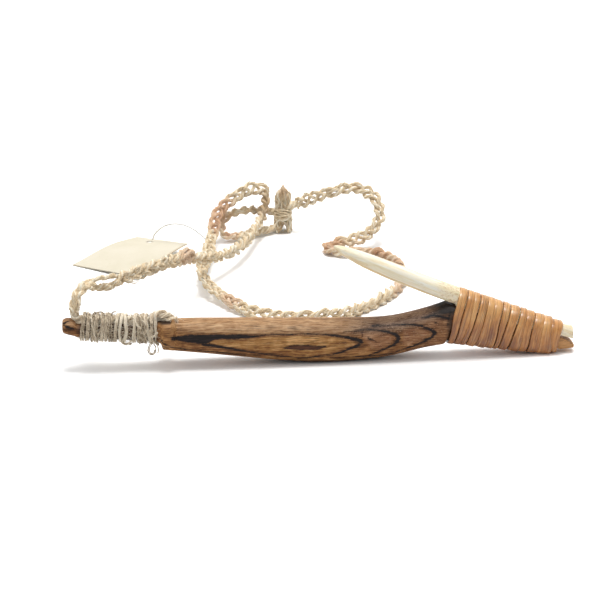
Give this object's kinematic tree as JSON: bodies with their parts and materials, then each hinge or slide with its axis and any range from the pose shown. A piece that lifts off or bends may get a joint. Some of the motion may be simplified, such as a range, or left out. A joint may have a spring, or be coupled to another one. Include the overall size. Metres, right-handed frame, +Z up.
{
  "type": "fish hook",
  "caption": "Composite fish hook: carved wooden shank, bone point bound on with split cane, plaited fibre snood bound to the head, blank paper tag on a string.",
  "frame": {"origin": "on the table, below the middle of the hook's length, in the hook's own plane", "axes": "+X from the head to the foot along the shank, +Y across the hook towards the laid snood, +Z up"},
  "size_m": [0.1798, 0.1442, 0.0423],
  "materials": {
    "wood": "oiled, satin, warm brown with near-black figure",
    "bone": "polished bone, cream, satin",
    "cane": "split cane, glossy skin, tan-orange",
    "yarn": "twisted plant fibre, matt, grey-beige",
    "fibre": "plaited plant fibre, matt, beige",
    "knot_fibre": "frayed plant fibre, matt, grey-brown",
    "paper": "plain card, matt, cream",
    "thread": "cotton thread, matt, off-white"
  },
  "bodies": {
    "root": {"shank": "wood", "bone_point": "bone", "point_lashing": "cane", "head_lashing": "yarn", "snood_bound_end": "fibre", "snood": "fibre", "snood_tail_loop": "fibre", "snood_knot": "knot_fibre", "paper_tag": "paper", "tag_string": "thread"}
  },
  "joints": []
}
